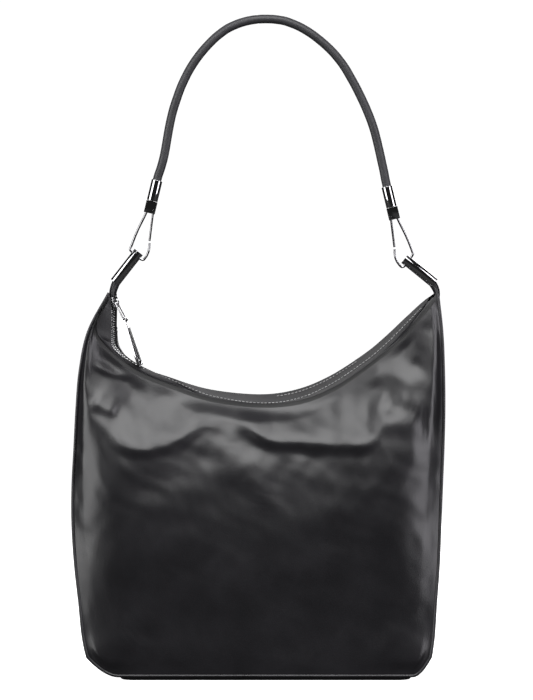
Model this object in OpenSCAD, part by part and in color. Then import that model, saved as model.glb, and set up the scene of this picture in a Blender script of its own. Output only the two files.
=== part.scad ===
// Hobo bag: a slouching leather body with two raised horns and a sunken zip,
// and a rolled strap that snap hooks hold in metal tubes on the horn tips.
// The origin is at the middle of the base; the front faces -Y and +Z is up.

/* [Body] */
// Width of the body over its gussets
bag_w = 300; // [250:1:360]
// Height of the horn tips above the base
bag_h = 306; // [255:1:370]
// Depth of the base
base_d = 100; // [84:1:120]
// How far each panel bellies out beyond a straight side
belly = 12; // [8:1:16]
// Thickness of the body leather
leather = 1.6; // [1.2:0.1:2]
// Thickness of the lining
lining = 0.6; // [0.4:0.1:0.8]
// Room between two layers of the wall
layer_gap = 0.4; // [0.3:0.1:0.6]
// Height of the seam where the panels meet the base
base_h = 5; // [4.5:0.5:7]
// Diameter of the piping in the seams
piping_d = 2.4; // [2:0.1:3]

/* [Zip] */
// Pitch of the teeth along one tape
tooth_pitch = 3; // [2.8:0.1:3.4]
// Thickness of a tooth across the tape
tooth_t = 2.2; // [1.8:0.1:2.4]
// Width of one tape
tape_w = 5; // [4.9:0.1:5.6]
// Thickness of the tape
tape_t = 0.8; // [0.6:0.1:0.9]
// Length of the slider
slider_l = 11; // [9:0.5:12]
// Length of the pull from its eye to its tip
pull_l = 40; // [34:1:42]
// Width of the pull
pull_w = 6.5; // [5.5:0.5:8]
// Thickness of the pull
pull_t = 2.6; // [2.2:0.2:3.2]

/* [Strap] */
// Diameter of the rolled strap
strap_d = 7.2; // [6:0.2:8]
// Rise of the strap's arch above its ferrules
strap_rise = 131; // [105:1:160]
// Thickness of the strap's leather
strap_leather = 0.9; // [0.7:0.1:1.1]

/* [Metal] */
// Diameter of the end tubes
tube_d = 8.5; // [8:0.1:9.5]
// Length of the end tubes
tube_l = 31; // [28:1:36]
// Diameter of the hook wire
wire_d = 2; // [1.8:0.1:2.2]
// Wall of the ferrules
ferrule_wall = 0.65; // [0.4:0.05:1]
// Length of the ferrules
ferrule_l = 17; // [14:1:20]
// Width and depth of the hook block
block_w = 8.8; // [8.4:0.1:10]
// Height of the hook block
block_h = 9.8; // [9.4:0.1:11]
// Diameter of the gate's pin
pin_d = 1.5; // [1.3:0.1:1.7]
// Running clearance between a pin and its bore
running = 0.1; // [0.05:0.01:0.1]
// Clearance between parts that pass each other freely
free_gap = 0.5; // [0.4:0.1:0.6]

/* [Hidden] */
$fn = 32;

leather_color = "#1c1b1f";
metal_color = "#b9bbc2";
lining_color = "#3a3634";
tape_color = "#101012";

// The outlines below are drawn for this width and height, then scaled.
drawn_w = 300;
drawn_h = 306;
sx = bag_w / drawn_w;
sz = bag_h / drawn_h;
base_hd = base_d / 2;
piping_r = piping_d / 2;

// Distance of the left and right outline from the middle, at equal steps of height.
left_out = [132, 140, 143.5, 147, 149, 149, 147.5, 146, 143.5, 137, 121];
right_out = [133, 138.5, 141, 143.5, 145, 146.5, 148, 149, 149, 148, 145];
// Rims of the mouth and the line of the zip, as [x, z] from the left horn to the right.
front_rim = [[-120, 306], [-127, 293], [-131, 278], [-123, 264], [-99, 245], [-69, 232.5],
  [-40, 223], [0, 218], [34, 221], [65, 234], [97, 257], [114, 271], [126, 286],
  [135, 297], [142, 306]];
back_rim = [[-115, 306], [-116, 293], [-116, 278], [-113, 262], [-99, 248], [-74, 239],
  [-40, 229], [0, 225], [30, 229], [57, 240], [85, 258], [102, 272], [119, 288],
  [131, 299], [140, 306]];
zip_line = [[-118.5, 306], [-118.5, 290], [-118.5, 274], [-116.5, 261.5], [-102, 249.5],
  [-74, 236], [-41, 220], [0, 212], [31, 215], [60, 228], [90, 249], [107, 264],
  [122, 280], [132, 292], [139, 303]];
// Height and share of the width over which each lower corner is rounded.
corner_rise = 14;
left_corner = 0.075;
right_corner = 0.04;
rim_hd_tip = 4.6;
rim_hd_mid = 9.4;
rim_hd_run = 0.05;

function mix(a, b, t) = a + (b - a) * t;
function clamp(v, lo, hi) = max(lo, min(hi, v));
function unit(v) = v / norm(v);
// A smooth curve through a list of points, with t from 0 to 1.
function pick(list, i) = list[clamp(i, 0, len(list) - 1)];
function curve_part(a, b, c, d, t) =
  0.5 * (2 * b + (c - a) * t + (2 * a - 5 * b + 4 * c - d) * t * t
  + (3 * b - a - 3 * c + d) * t * t * t);
function curve(list, t) =
  let (s = clamp(t, 0, 1) * (len(list) - 1), i = min(floor(s), len(list) - 2))
  let (a = i > 0 ? list[i - 1] : 2 * list[0] - list[1])
  let (d = i < len(list) - 2 ? list[i + 2] : 2 * pick(list, i + 1) - pick(list, i))
  curve_part(a, list[i], list[i + 1], d, s - i);

// ---- outline and depth of the body ----
seam_in = piping_d;
function left_x(z) = -curve(left_out, z / bag_h) * sx + seam_in;
function right_x(z) = curve(right_out, z / bag_h) * sx - seam_in;
function scaled(p) = [p.x * sx, p.y * sz];
function rim(side, u) = scaled(curve(side < 0 ? front_rim : back_rim, u));
function corner_lift(u) =
  u < left_corner ? corner_rise * pow(1 - u / left_corner, 2)
  : u > 1 - right_corner ? corner_rise * pow(1 - (1 - u) / right_corner, 2) : 0;
horn_hd = 4.2;
function edge_hd(z) = horn_hd + (base_hd - horn_hd) * pow(max(0, 1 - z / bag_h), 0.9);
function rim_hd(u) = mix(rim_hd_tip, rim_hd_mid, min(1, min(u, 1 - u) / rim_hd_run));
// Inner face of a panel as [x, half depth, z]; side is -1 in front and 1 behind.
function wall(side, u, v) =
  let (top = rim(side, u), low = base_h + corner_lift(u), z = mix(low, top.y, v))
  let (share = (top.x - left_x(top.y)) / (right_x(top.y) - left_x(top.y)))
  let (x = mix(left_x(z), right_x(z), mix(u, share, v)))
  let (middle = mix(base_hd, rim_hd(u), v) + belly * sin(180 * v))
  [x, mix(edge_hd(z), middle, pow(sin(180 * u), 0.7)), z];
function wall_point(side, u, v, out) =
  let (p = wall(side, u, v)) [p.x, side * (p.y + out), p.z];

// ---- closed solids from rows of points ----
function flat(rows) = [for (row = rows) for (p = row) p];
// A sheet with a thickness, between two grids of points of one size.
module shell(outer, inner, flip = false) {
  n = len(outer);
  m = len(outer[0]);
  k = n * m;
  quads = concat(
    [for (i = [0:n - 2], j = [0:m - 2])
      [i * m + j, i * m + j + 1, (i + 1) * m + j + 1, (i + 1) * m + j]],
    [for (i = [0:n - 2], j = [0:m - 2])
      [k + (i + 1) * m + j, k + (i + 1) * m + j + 1, k + i * m + j + 1, k + i * m + j]],
    [for (i = [0:n - 2], j = [0, m - 1])
      let (q = [i * m + j, (i + 1) * m + j, k + (i + 1) * m + j, k + i * m + j])
      j == 0 ? q : [q[3], q[2], q[1], q[0]]],
    [for (j = [0:m - 2], i = [0, n - 1])
      let (q = [i * m + j + 1, i * m + j, k + i * m + j, k + i * m + j + 1])
      i == 0 ? q : [q[3], q[2], q[1], q[0]]]);
  triangles = [for (q = quads) each [[q[0], q[1], q[2]], [q[0], q[2], q[3]]]];
  polyhedron(
    points = concat(flat(outer), flat(inner)),
    faces = flip ? [for (f = triangles) [f[2], f[1], f[0]]] : triangles,
    convexity = 6);
}
// A solid rod through rings of points, closed at both ends.
module rod(rings) {
  n = len(rings);
  m = len(rings[0]);
  sides = [for (i = [0:n - 2], j = [0:m - 1]) let (k = (j + 1) % m)
    each [[i * m + j, (i + 1) * m + j, (i + 1) * m + k], [i * m + j, (i + 1) * m + k, i * m + k]]];
  caps = [for (j = [1:m - 2]) each [[0, j, j + 1],
    [(n - 1) * m, (n - 1) * m + j + 1, (n - 1) * m + j]]];
  polyhedron(points = flat(rings), faces = concat(sides, caps), convexity = 6);
}
// Rings of a round rod along a route of points.
function route_dir(pts, i) = unit(pick(pts, i + 1) - pick(pts, i - 1));
function round_rings(pts, d, sides) = [for (i = [0:len(pts) - 1])
  let (t = route_dir(pts, i), a = unit(cross([0, 1, 0], t)), b = cross(t, a))
  [for (k = [0:sides - 1]) pts[i] + d / 2 * (cos(360 * k / sides) * a + sin(360 * k / sides) * b)]];

// ---- panels, gussets and base ----
panel_cols = 26;
panel_rows = 14;
module panel(side, u0, u1, v0, v1, face, back, cols, rows) {
  function at(i, j, out) = wall_point(side, mix(u0, u1, i / cols), mix(v0, v1, j / rows), out);
  shell([for (i = [0:cols]) [for (j = [0:rows]) at(i, j, face)]],
    [for (i = [0:cols]) [for (j = [0:rows]) at(i, j, back)]], side > 0);
}
module front_panel() {
  color(leather_color) panel(-1, 0, 1, 0, 1, leather, 0, panel_cols, panel_rows);
}
module back_panel() {
  color(leather_color) panel(1, 0, 1, 0, 1, leather, 0, panel_cols, panel_rows);
}
lining_out = -layer_gap;
lining_cols = 14;
lining_rows = 8;
module front_lining() {
  color(lining_color) panel(-1, 0.08, 0.92, 0.05, 0.92, lining_out, lining_out - lining,
    lining_cols, lining_rows);
}
module back_lining() {
  color(lining_color) panel(1, 0.08, 0.92, 0.05, 0.92, lining_out, lining_out - lining,
    lining_cols, lining_rows);
}

gusset_rows = 16;
gusset_cols = 6;
gusset_belly = 2;
gusset_top = 0.955;
// Side seam as [x, z], with the rounded lower corner, for a height share t.
function side_seam(hand, t) =
  let (z = mix(base_h, bag_h, pow(t, 1.25)), c = hand < 0 ? left_corner : right_corner)
  let (u = c * (1 - sqrt(min(1, (z - base_h) / corner_rise))))
  [hand < 0 ? mix(left_x(z), right_x(z), u) : mix(right_x(z), left_x(z), u), z];
function gusset_point(hand, t, s, inset, trim) =
  let (p = side_seam(hand, t), hd = max(0.6, edge_hd(p.y) - trim))
  [p.x - hand * inset + hand * gusset_belly * (1 - s * s) * min(1, hd / 10), s * hd, p.y];
module gusset(hand, t0, t1, face, back, trim) {
  function at(i, j, inset) = gusset_point(hand, mix(t0, t1, i / gusset_rows),
    mix(-1, 1, j / gusset_cols), inset, trim);
  shell([for (i = [0:gusset_rows]) [for (j = [0:gusset_cols]) at(i, j, face)]],
    [for (i = [0:gusset_rows]) [for (j = [0:gusset_cols]) at(i, j, back)]], hand < 0);
}
module left_gusset() { color(leather_color) gusset(-1, 0, gusset_top, 0, leather, 0); }
module right_gusset() { color(leather_color) gusset(1, 0, gusset_top, 0, leather, 0); }
lining_in = leather + layer_gap;
module left_lining() {
  color(lining_color) gusset(-1, 0.12, 0.78, lining_in, lining_in + lining, lining_in + lining);
}
module right_lining() {
  color(lining_color) gusset(1, 0.12, 0.78, lining_in, lining_in + lining, lining_in + lining);
}

base_left = side_seam(-1, 0).x;
base_right = side_seam(1, 0).x;
base_leather = 2;
board_t = 1.6;
module rounded_plate(inset, z0, z1, r) {
  x0 = base_left + inset;
  x1 = base_right - inset;
  y1 = base_hd - inset;
  points = [for (c = [[x1 - r, y1 - r, 0], [x0 + r, y1 - r, 90], [x0 + r, r - y1, 180],
    [x1 - r, r - y1, 270]]) for (a = [0:15:90]) [c.x + r * cos(a + c.z), c.y + r * sin(a + c.z)]];
  translate([0, 0, z0]) linear_extrude(z1 - z0) polygon(points);
}
base_round = 12;
module base_panel() {
  color(leather_color) difference() {
    rounded_plate(0.6, 0, base_h - 0.1, base_round);
    rounded_plate(base_leather, base_leather, base_h + 1, base_round - base_leather);
  }
}
module base_board() {
  color("#8a7350") rounded_plate(base_leather + 0.3, base_leather, base_leather + board_t,
    base_round - base_leather - 0.3);
}
module base_lining() {
  color(lining_color) rounded_plate(base_leather + 0.4, base_leather + board_t,
    base_leather + board_t + lining, base_round - base_leather - 0.4);
}

// ---- piping round the front and back seams ----
pipe_clear = 0.3;
seam_uv = concat(
  [for (i = [panel_rows:-1:0]) [0, i / panel_rows]],
  [for (i = [1:panel_cols - 1]) [i / panel_cols, 0]],
  [for (i = [0:panel_rows]) [1, i / panel_rows]]);
function seam_point(side, uv) = wall_point(side, uv[0], uv[1], piping_r);
function seam_out(side, i) =
  let (d = seam_point(side, pick(seam_uv, i + 1)) - seam_point(side, pick(seam_uv, i - 1)))
  unit([d.z, 0, -d.x]);
function pipe_route(side) = [for (i = [0:len(seam_uv) - 1])
  seam_point(side, seam_uv[i]) + (piping_r + pipe_clear) * seam_out(side, i)];
module piping(side) {
  color(leather_color) rod(round_rings(pipe_route(side), piping_d - 0.1, 8));
}
module front_piping() { piping(-1); }
module back_piping() { piping(1); }

// ---- zip: facings, tapes, teeth, stops ----
zip_steps = 56;
// Across direction of the zip: turned to the front at the left horn, level in the middle.
horn_turn = 22;
function zip_at(u) = let (p = scaled(curve(zip_line, u))) [p.x, 0, p.y];
function zip_dir(u) = unit(zip_at(min(1, u + 0.004)) - zip_at(max(0, u - 0.004)));
function zip_turn(u) = horn_turn * (1 - clamp((u - 0.22) / 0.12, 0, 1));
function zip_across(u) =
  let (a = [sin(zip_turn(u)), cos(zip_turn(u)), 0], t = zip_dir(u)) unit(a - (a * t) * t);
function zip_up(u) = cross(zip_dir(u), zip_across(u));
function zip_point(u, across, up) = zip_at(u) + zip_across(u) * across + zip_up(u) * up;
zip_u0 = 0.015;
zip_u1 = 0.93;
tape_u0 = 0.075;
tape_u1 = 0.935;
function zip_u(i) = mix(tape_u0, tape_u1, i / zip_steps);
facing_t = 1;
slider_w = 8.4;
facing_reach = slider_w / 2 + free_gap + 0.2;
facing_gap = 0.2;
facing_back = 1.2;
// Edges of a facing: under the rim, and on the tape beside the slider's path.
horn_clear = 5;
function facing_shift(side, u) = side > 0 ? 0 : horn_clear * (1 - clamp((u - 0.16) / 0.08, 0, 1));
function facing_rim(side, u) =
  wall_point(side, u, 1, -facing_back) + [facing_shift(side, u), 0, -facing_gap];
function facing_zip(side, u) = zip_point(u, side * facing_reach, tape_t / 2 + facing_gap);
function facing_face(side, u) =
  let (n = cross(zip_dir(u), facing_zip(side, u) - facing_rim(side, u))) unit(n) * -side * facing_t;
module facing(side) {
  us = [for (i = [0:zip_steps]) zip_u(i)];
  color(leather_color) shell(
    [for (u = us) [facing_rim(side, u) + facing_face(side, u), facing_zip(side, u) + facing_face(side, u)]],
    [for (u = us) [facing_rim(side, u), facing_zip(side, u)]],
    side > 0);
}
module front_zip_facing() { facing(-1); }
module back_zip_facing() { facing(1); }
tape_in = 1.6;
module tape(side) {
  function edge(u, k, up) = zip_point(u, side * mix(tape_in, tape_w, k), up);
  color(tape_color) shell(
    [for (i = [0:zip_steps]) [for (k = [0, 1]) edge(zip_u(i), k, tape_t / 2)]],
    [for (i = [0:zip_steps]) [for (k = [0, 1]) edge(zip_u(i), k, -tape_t / 2)]],
    side > 0);
}
module front_zip_tape() { tape(-1); }
module back_zip_tape() { tape(1); }
tooth_l = 0.9;
tooth_w = 2.4;
// The two rows stand apart where the slider's post runs, and mesh beyond it.
parted = 0.9;
meshed = 0.05;
part_end = 0.3;
function row_in(u) = mix(parted, meshed, clamp((u - part_end) / 0.03, 0, 1));
zip_len = norm(zip_at(1) - zip_at(0)) * 1.22;
teeth_n = floor(zip_len / tooth_pitch);
module along_zip(u) {
  t = zip_dir(u);
  a = zip_across(u);
  n = zip_up(u);
  p = zip_at(u);
  multmatrix([[t.x, a.x, n.x, p.x], [t.y, a.y, n.y, p.y], [t.z, a.z, n.z, p.z], [0, 0, 0, 1]])
    children();
}
module tooth_row(side) {
  color(metal_color) for (i = [1:teeth_n - 2]) {
    u = mix(zip_u0, zip_u1, (i + (side > 0 ? 0.5 : 0)) / teeth_n);
    along_zip(u) translate([-tooth_l / 2, side > 0 ? row_in(u) : -row_in(u) - tooth_w, -tooth_t / 2])
      difference() {
        cube([tooth_l, tooth_w, tooth_t]);
        translate([-1, side > 0 ? tape_in - row_in(u) - 0.1 : -1, tooth_t / 2 - tape_t / 2 - 0.12])
          cube([tooth_l + 2, tooth_w - tape_in + row_in(u) + 1.1, tape_t + 0.24]);
      }
  }
}
module front_zip_teeth() { tooth_row(-1); }
module back_zip_teeth() { tooth_row(1); }
module zip_end_stops() {
  color(metal_color) for (u = [0.002, 0.937])
    along_zip(u) translate([-1, -1.2, -1.3]) cube([2, 2.4, 2.6]);
}

// ---- slider and pull; their own frame has x down the zip, y across it and z outwards ----
slider_z = bag_h - 7.5;
slider_x = scaled(zip_line[0]).x;
hinge_up = 3.7;
link_l = 15;
link_lean_rest = 30;
pull_lean_rest = 20;
link_wire = 1.2;
link_hw = 2.6;
module at_slider() {
  a = [sin(horn_turn), cos(horn_turn), 0];
  n = [cos(horn_turn), -sin(horn_turn), 0];
  multmatrix([[0, a.x, n.x, slider_x], [0, a.y, n.y, 0], [-1, 0, 0, slider_z], [0, 0, 0, 1]])
    children();
}
plate_t = 1.2;
channel = tooth_t / 2 + free_gap;
flange_w = 0.6;
module slider_plate() {
  h = slider_l / 2;
  w = slider_w / 2;
  linear_extrude(plate_t) polygon([[-h, 0.6 - w], [0.6 - h, -w], [0, -w], [h, 1.2 - w],
    [h, w - 1.2], [0, w], [0.6 - h, w], [-h, w - 0.6]]);
}
module slider_body() {
  post_w = 2 * (parted - free_gap);
  color(metal_color) at_slider() {
    translate([0, 0, channel]) slider_plate();
    translate([0, 0, -channel - plate_t]) slider_plate();
    translate([0.4 - slider_l / 2, -post_w / 2, -channel - 0.1]) cube([2, post_w, 2 * channel + 0.2]);
    flange_h = channel - tape_t / 2 - free_gap;
    for (y = [-slider_w / 2, slider_w / 2 - flange_w], z = [-channel, channel - flange_h])
      translate([0.6 - slider_l / 2, y, z]) cube([slider_l / 2 - 0.6, flange_w, flange_h]);
  }
}
crown_w = 2.4;
module slider_crown() {
  base = channel + plate_t;
  window = 2 * (hinge_up - base);
  color(metal_color) at_slider() translate([0, crown_w / 2, 0]) rotate([90, 0, 0])
    linear_extrude(crown_w) difference() {
      polygon([[-3.6, base], [-3.2, base + window + 0.4], [-2.4, base + window + 1],
        [2.4, base + window + 1], [3.2, base + window + 0.4], [3.6, base]]);
      translate([-2, base - 1]) square([4, window + 1]);
    }
}
module bar(a, b, d) {
  v = b - a;
  translate(a) rotate([0, acos(v.z / norm(v)), atan2(v.y, v.x)]) cylinder(d = d, h = norm(v));
}
module wire(pts, d) {
  for (i = [0:len(pts) - 2]) bar(pts[i], pts[i + 1], d);
  for (p = pts) translate(p) sphere(d = d);
}
module at_link() { at_slider() translate([0, 0, hinge_up]) rotate([0, 90 - link_lean_rest, 0]) children(); }
module at_pull() {
  at_slider() translate([link_l * cos(link_lean_rest), 0, hinge_up + link_l * sin(link_lean_rest)])
    rotate([0, 90 - pull_lean_rest, 0]) children();
}
module pull_link() {
  color(metal_color) at_link()
    wire([[0, -link_hw, 0], [0, link_hw, 0], [0, link_hw, link_l], [0, -link_hw, link_l],
      [0, -link_hw, 0]], link_wire);
}
eye_d = 4;
eye_w = 3.2;
module pull_frame() {
  color(metal_color) at_pull() difference() {
    union() {
      translate([0, eye_w / 2, 0]) rotate([90, 0, 0]) cylinder(d = eye_d, h = eye_w);
      translate([-0.9, -eye_w / 2, 1]) cube([1.8, eye_w, 4]);
      translate([-pull_t / 2, -pull_w / 2, 4]) cube([pull_t, pull_w, pull_l - 5]);
    }
    rotate([90, 0, 0]) cylinder(d = link_wire + 2 * 0.35, h = eye_w + 2, center = true);
    translate([-pull_t, -pull_w / 2 + 1, 8]) cube([2 * pull_t, pull_w - 2, pull_l - 13]);
  }
}
module pull_insert() {
  color(tape_color) at_pull() translate([-pull_t / 2 - 0.1, -pull_w / 2 + 1.02, 8.02])
    cube([pull_t + 0.2, pull_w - 2.04, pull_l - 13.04]);
}

// ---- handle: necks, tubes, hooks, ferrules and strap; hand is -1 left and 1 right ----
pivot_rise = 6.5;
pivot_z = bag_h + pivot_rise;
left_pivot_x = -118.5;
right_pivot_x = 143.5;
left_tube_angle = 52;
right_tube_angle = 39;
neck_show = 3.5;
tube_wall = 1;
bore_from_end = 3.4;
function pivot(hand) = [(hand < 0 ? left_pivot_x : right_pivot_x) * sx, 0, pivot_z];
function tube_angle(hand) = hand < 0 ? left_tube_angle : right_tube_angle;
function tube_dir(hand) = [-hand * cos(tube_angle(hand)), 0, sin(tube_angle(hand))];
function cross_bore(hand) = pivot(hand) + tube_dir(hand) * (neck_show + tube_l - bore_from_end);
module at_tube(hand) {
  translate(pivot(hand)) rotate([0, -hand * (90 - tube_angle(hand)), 0]) children();
}
module tube(hand) {
  inside = tube_l - 2 * bore_from_end - 1;
  color(metal_color) at_tube(hand) translate([0, 0, neck_show]) difference() {
    cylinder(d = tube_d, h = tube_l);
    translate([0, 0, -1]) cylinder(d = tube_d - 2 * tube_wall, h = inside + 1);
    translate([0, 0, tube_l - bore_from_end]) rotate([0, 90, 0])
      cylinder(d = wire_d + 2 * free_gap, h = 2 * tube_d, center = true);
  }
}
module left_tube() { tube(-1); }
module right_tube() { tube(1); }
module neck(hand) {
  d = tube_d - 2 * tube_wall - 0.1;
  color(leather_color) at_tube(hand) {
    sphere(d = d);
    cylinder(d = d, h = neck_show + tube_l - 2 * bore_from_end - 1.5);
  }
}
module left_neck() { neck(-1); }
module right_neck() { neck(1); }

// The hook's own frame has its origin at the tube's cross bore and x towards the arch.
block_x = 10.6;
block_z = 34;
block_tilt = 13.5;
module at_bore(hand) {
  translate(cross_bore(hand)) mirror([hand > 0 ? 1 : 0, 0, 0]) children();
}
module at_block(hand) {
  at_bore(hand) translate([block_x, 0, block_z]) rotate([0, block_tilt, 0]) children();
}
function block_point(hand, x, z) = cross_bore(hand)
  + [-hand * (block_x + x * cos(block_tilt) + z * sin(block_tilt)), 0,
    block_z - x * sin(block_tilt) + z * cos(block_tilt)];
spine_x = -2.6;
gate_x = 2.7;
pin_z = 2.4;
stud_d = 3.4;
stud_sink = 3.6;
slot_top = 5;
eye_t = 2;
gate_eye_d = 3.4;
spring_t = 1.2;
spring_gap = 0.3;
block_gap = 0.3;
hook_out = tube_d / 2 + 1;
nose = [10.8, 0, 10];
module hook_block(hand) {
  color(metal_color) at_block(hand) difference() {
    translate([-block_w / 2, -block_w * 0.44, 0]) cube([block_w, block_w * 0.88, block_h]);
    translate([gate_x, 0, pin_z]) rotate([90, 0, 0]) cylinder(d = pin_d, h = block_w + 2, center = true);
    translate([0.2, -eye_t / 2 - spring_gap, -1])
      cube([block_w, eye_t + spring_t + 3 * spring_gap, slot_top + 1]);
    translate([0, 0, block_h - stud_sink]) cylinder(d = stud_d, h = stud_sink + 1);
    translate([spine_x, 0, -1]) cylinder(d = wire_d + 2 * block_gap, h = 4.2);
  }
}
module left_hook_block() { hook_block(-1); }
module right_hook_block() { hook_block(1); }
wire_rings = 40;
module hook_wire(hand) {
  across = [sin(tube_angle(hand)), 0, -cos(tube_angle(hand))];
  c = cos(block_tilt);
  s = sin(block_tilt);
  root = [block_x + spine_x * c + 2.9 * s, 0, block_z - spine_x * s + 2.9 * c];
  low = root - [4 * s, 0, 4 * c];
  knots = [root, low, [1.4, 0, 20.5], [-3.4, 0, 8.5], -across * (hook_out + 0.3) + [0, 0, 0.4],
    across * (hook_out + 0.3), [7.8, 0, -1.4], [10.2, 0, 4], nose];
  route = [for (i = [0:wire_rings]) curve(knots, i / wire_rings)];
  color(metal_color) at_bore(hand) rod(round_rings(route, wire_d, 10));
}
module left_hook_wire() { hook_wire(-1); }
module right_hook_wire() { hook_wire(1); }
// Gate pin in the hook's frame.
gate_pivot = [block_x + gate_x * cos(block_tilt) + pin_z * sin(block_tilt), 0,
  block_z - gate_x * sin(block_tilt) + pin_z * cos(block_tilt)];
gate_d = 1.8;
module gate(hand) {
  end = nose + [0, 0, wire_d / 2 + free_gap];
  v = end - gate_pivot;
  color(metal_color) at_bore(hand) difference() {
    union() {
      translate(gate_pivot + [0, eye_t / 2, 0]) rotate([90, 0, 0]) cylinder(d = gate_eye_d, h = eye_t);
      bar(gate_pivot + unit(v) * 1.2, end, gate_d);
    }
    translate(gate_pivot) rotate([90, 0, 0])
      cylinder(d = pin_d + 2 * running, h = eye_t + 2, center = true);
  }
}
module left_gate() { gate(-1); }
module right_gate() { gate(1); }
module gate_pin(hand) {
  color(metal_color) at_block(hand) translate([gate_x, 0, pin_z]) rotate([90, 0, 0])
    cylinder(d = pin_d, h = block_w * 0.88 + 0.4, center = true);
}
module left_gate_pin() { gate_pin(-1); }
module right_gate_pin() { gate_pin(1); }
module gate_spring(hand) {
  y0 = eye_t / 2 + spring_gap;
  color(metal_color) at_block(hand) translate([gate_x, 0, pin_z]) difference() {
    union() {
      translate([0, y0 + spring_t, 0]) rotate([90, 0, 0]) cylinder(d = 3, h = spring_t);
      translate([-1, y0 + spring_t / 2, 0]) cylinder(d = 0.7, h = slot_top - pin_z - 0.1);
    }
    translate([0, y0 + spring_t / 2, 0]) rotate([90, 0, 0])
      cylinder(d = pin_d + 0.2, h = spring_t + 1, center = true);
  }
}
module left_gate_spring() { gate_spring(-1); }
module right_gate_spring() { gate_spring(1); }
head_t = 1.2;
ferrule_floor = 2;
ferrule_z = block_h + block_gap;
module swivel_stud(hand) {
  color(metal_color) at_block(hand) {
    translate([0, 0, block_h - stud_sink])
      cylinder(d = stud_d, h = stud_sink + block_gap + ferrule_floor + 0.1 + head_t / 2);
    translate([0, 0, ferrule_z + ferrule_floor + 0.1]) cylinder(d = stud_d + 2.4, h = head_t);
  }
}
module left_swivel_stud() { swivel_stud(-1); }
module right_swivel_stud() { swivel_stud(1); }
strap_fit = 0.3;
module ferrule(hand) {
  color(metal_color) at_block(hand) translate([0, 0, ferrule_z]) difference() {
    cylinder(d = strap_d + strap_fit + 2 * ferrule_wall, h = ferrule_l);
    translate([0, 0, ferrule_floor]) cylinder(d = strap_d + strap_fit, h = ferrule_l);
    translate([0, 0, -1]) cylinder(d = stud_d + 2 * running, h = ferrule_floor + 2);
  }
}
module left_ferrule() { ferrule(-1); }
module right_ferrule() { ferrule(1); }

// Arch of the strap between its ferrules, as shares of the span and of the rise.
arch = [[0.029, 0.138], [0.064, 0.397], [0.117, 0.611], [0.188, 0.776], [0.282, 0.911],
  [0.376, 0.978], [0.477, 1], [0.577, 0.982], [0.683, 0.906], [0.789, 0.77], [0.871, 0.584],
  [0.937, 0.374], [0.975, 0.167]];
strap_in = ferrule_z + ferrule_floor + head_t + 0.4;
strap_out = ferrule_z + ferrule_l + 1;
function strap_knots() =
  let (a = block_point(-1, 0, strap_out), b = block_point(1, 0, strap_out))
  concat([block_point(-1, 0, strap_in), a],
    [for (p = arch) [mix(a.x, b.x, p.x), 0, mix(a.z, b.z, p.x) + strap_rise * p.y]],
    [b, block_point(1, 0, strap_in)]);
strap_rings = 44;
strap_sides = 12;
function strap_route(over) = let (k = strap_knots())
  [for (i = [0:strap_rings]) let (p = curve(k, i / strap_rings))
    i == 0 ? p + unit(k[0] - k[1]) * over
    : i == strap_rings ? p + unit(k[len(k) - 1] - k[len(k) - 2]) * over : p];
core_d = strap_d - 2 * strap_leather;
module strap_cover() {
  color(leather_color) difference() {
    rod(round_rings(strap_route(0), strap_d, strap_sides));
    rod(round_rings(strap_route(1), core_d, strap_sides));
  }
}
module strap_core() {
  color("#6d6a64") rod(round_rings(strap_route(0), core_d - 0.2, strap_sides));
}

front_panel();
back_panel();
left_gusset();
right_gusset();
base_panel();
base_board();
front_piping();
back_piping();
front_lining();
back_lining();
left_lining();
right_lining();
base_lining();
front_zip_facing();
back_zip_facing();
front_zip_tape();
back_zip_tape();
front_zip_teeth();
back_zip_teeth();
zip_end_stops();
slider_body();
slider_crown();
pull_link();
pull_frame();
pull_insert();
left_tube();
right_tube();
left_neck();
right_neck();
strap_cover();
strap_core();
left_ferrule();
right_ferrule();
left_swivel_stud();
right_swivel_stud();
left_hook_block();
right_hook_block();
left_hook_wire();
right_hook_wire();
left_gate();
right_gate();
left_gate_pin();
right_gate_pin();
left_gate_spring();
right_gate_spring();
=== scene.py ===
import math

import bmesh
import bpy
import numpy as np
from mathutils import Matrix, Vector


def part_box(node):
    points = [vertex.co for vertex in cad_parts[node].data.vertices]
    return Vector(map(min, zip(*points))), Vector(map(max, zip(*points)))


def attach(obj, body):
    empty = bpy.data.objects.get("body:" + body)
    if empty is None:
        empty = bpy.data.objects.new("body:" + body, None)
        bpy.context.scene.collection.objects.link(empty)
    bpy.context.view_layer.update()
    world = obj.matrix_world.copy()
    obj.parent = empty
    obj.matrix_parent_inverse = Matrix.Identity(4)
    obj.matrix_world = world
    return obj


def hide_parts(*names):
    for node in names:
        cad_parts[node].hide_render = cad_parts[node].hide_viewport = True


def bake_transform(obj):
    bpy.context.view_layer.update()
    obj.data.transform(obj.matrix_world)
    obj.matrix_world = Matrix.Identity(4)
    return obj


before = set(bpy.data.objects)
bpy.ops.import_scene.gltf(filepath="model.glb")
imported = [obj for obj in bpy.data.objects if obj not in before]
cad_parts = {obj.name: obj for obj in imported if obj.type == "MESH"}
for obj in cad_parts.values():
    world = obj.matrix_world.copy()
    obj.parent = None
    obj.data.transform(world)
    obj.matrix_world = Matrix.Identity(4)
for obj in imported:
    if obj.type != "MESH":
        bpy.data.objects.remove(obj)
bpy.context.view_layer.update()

# ---- Studio ----
# A pale floor that curves up into a pale wall all round the bag, a soft light on each side and one overhead,
# and a long lens level with the middle of the bag.
view_height = 0.5635
camera_distance = 2.6
camera_x = 0.0056
camera_z = 0.2835
camera_dip = 0.5
bpy.ops.object.camera_add(location=(camera_x, -camera_distance, camera_z),
                          rotation=(math.radians(90 - camera_dip), 0, 0))
camera = bpy.context.object
camera.name = "camera"
camera.data.sensor_fit = "VERTICAL"
camera.data.sensor_height = 36
camera.data.lens = 36 * camera_distance / view_height
bpy.context.scene.camera = camera

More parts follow.
